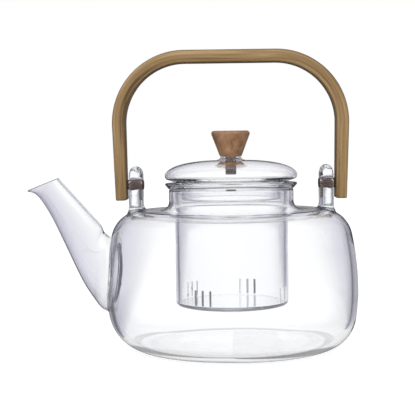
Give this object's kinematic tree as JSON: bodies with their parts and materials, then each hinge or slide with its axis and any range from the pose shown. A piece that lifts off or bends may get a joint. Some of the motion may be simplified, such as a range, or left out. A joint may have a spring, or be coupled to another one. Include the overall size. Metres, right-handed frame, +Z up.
{
  "type": "glass teapot",
  "caption": "Squat blown-glass teapot with a hanging slit glass infuser, a domed glass lid with a turned wooden knob and a bent bamboo handle that swings on pins.",
  "frame": {"origin": "centre of the pot's flat base, on the pot's own axis", "axes": "+Z up along the pot's axis, -X towards the spout's lip, +X to the plain side; the bail handle stands in the XZ plane and swings about a line along X"},
  "size_m": [0.1836, 0.14, 0.1661],
  "materials": {
    "glass": "clear polished borosilicate glass",
    "bamboo": "bent bamboo strip, fine lengthwise fibres, satin lacquer",
    "knob_wood": "turned wood, satin",
    "pin_wood": "dark wooden dowel, satin",
    "silicone": "translucent grey-brown silicone"
  },
  "bodies": {
    "pot": {"pot_shell": "glass", "spout": "glass", "ear_left": "glass", "ear_right": "glass"},
    "infuser": {"infuser": "glass"},
    "lid": {"lid_glass": "glass", "lid_knob": "knob_wood", "knob_plug": "silicone"},
    "handle": {"handle_bow": "bamboo", "pin_left": "pin_wood", "pin_right": "pin_wood"}
  },
  "joints": [
    {"name": "handle_swing", "type": "hinge", "parent": "pot", "child": "handle", "pos_m": [0, 0, 0.09205], "axis": [1, 0, 0], "range_deg": [-100, 100]},
    {"name": "infuser_lift", "type": "slide", "parent": "pot", "child": "infuser", "axis": [0, 0, 1], "range_m": [0, 0.034]},
    {"name": "lid_lift", "type": "slide", "parent": "infuser", "child": "lid", "axis": [0, 0, 1], "range_m": [0, 0.034]}
  ]
}
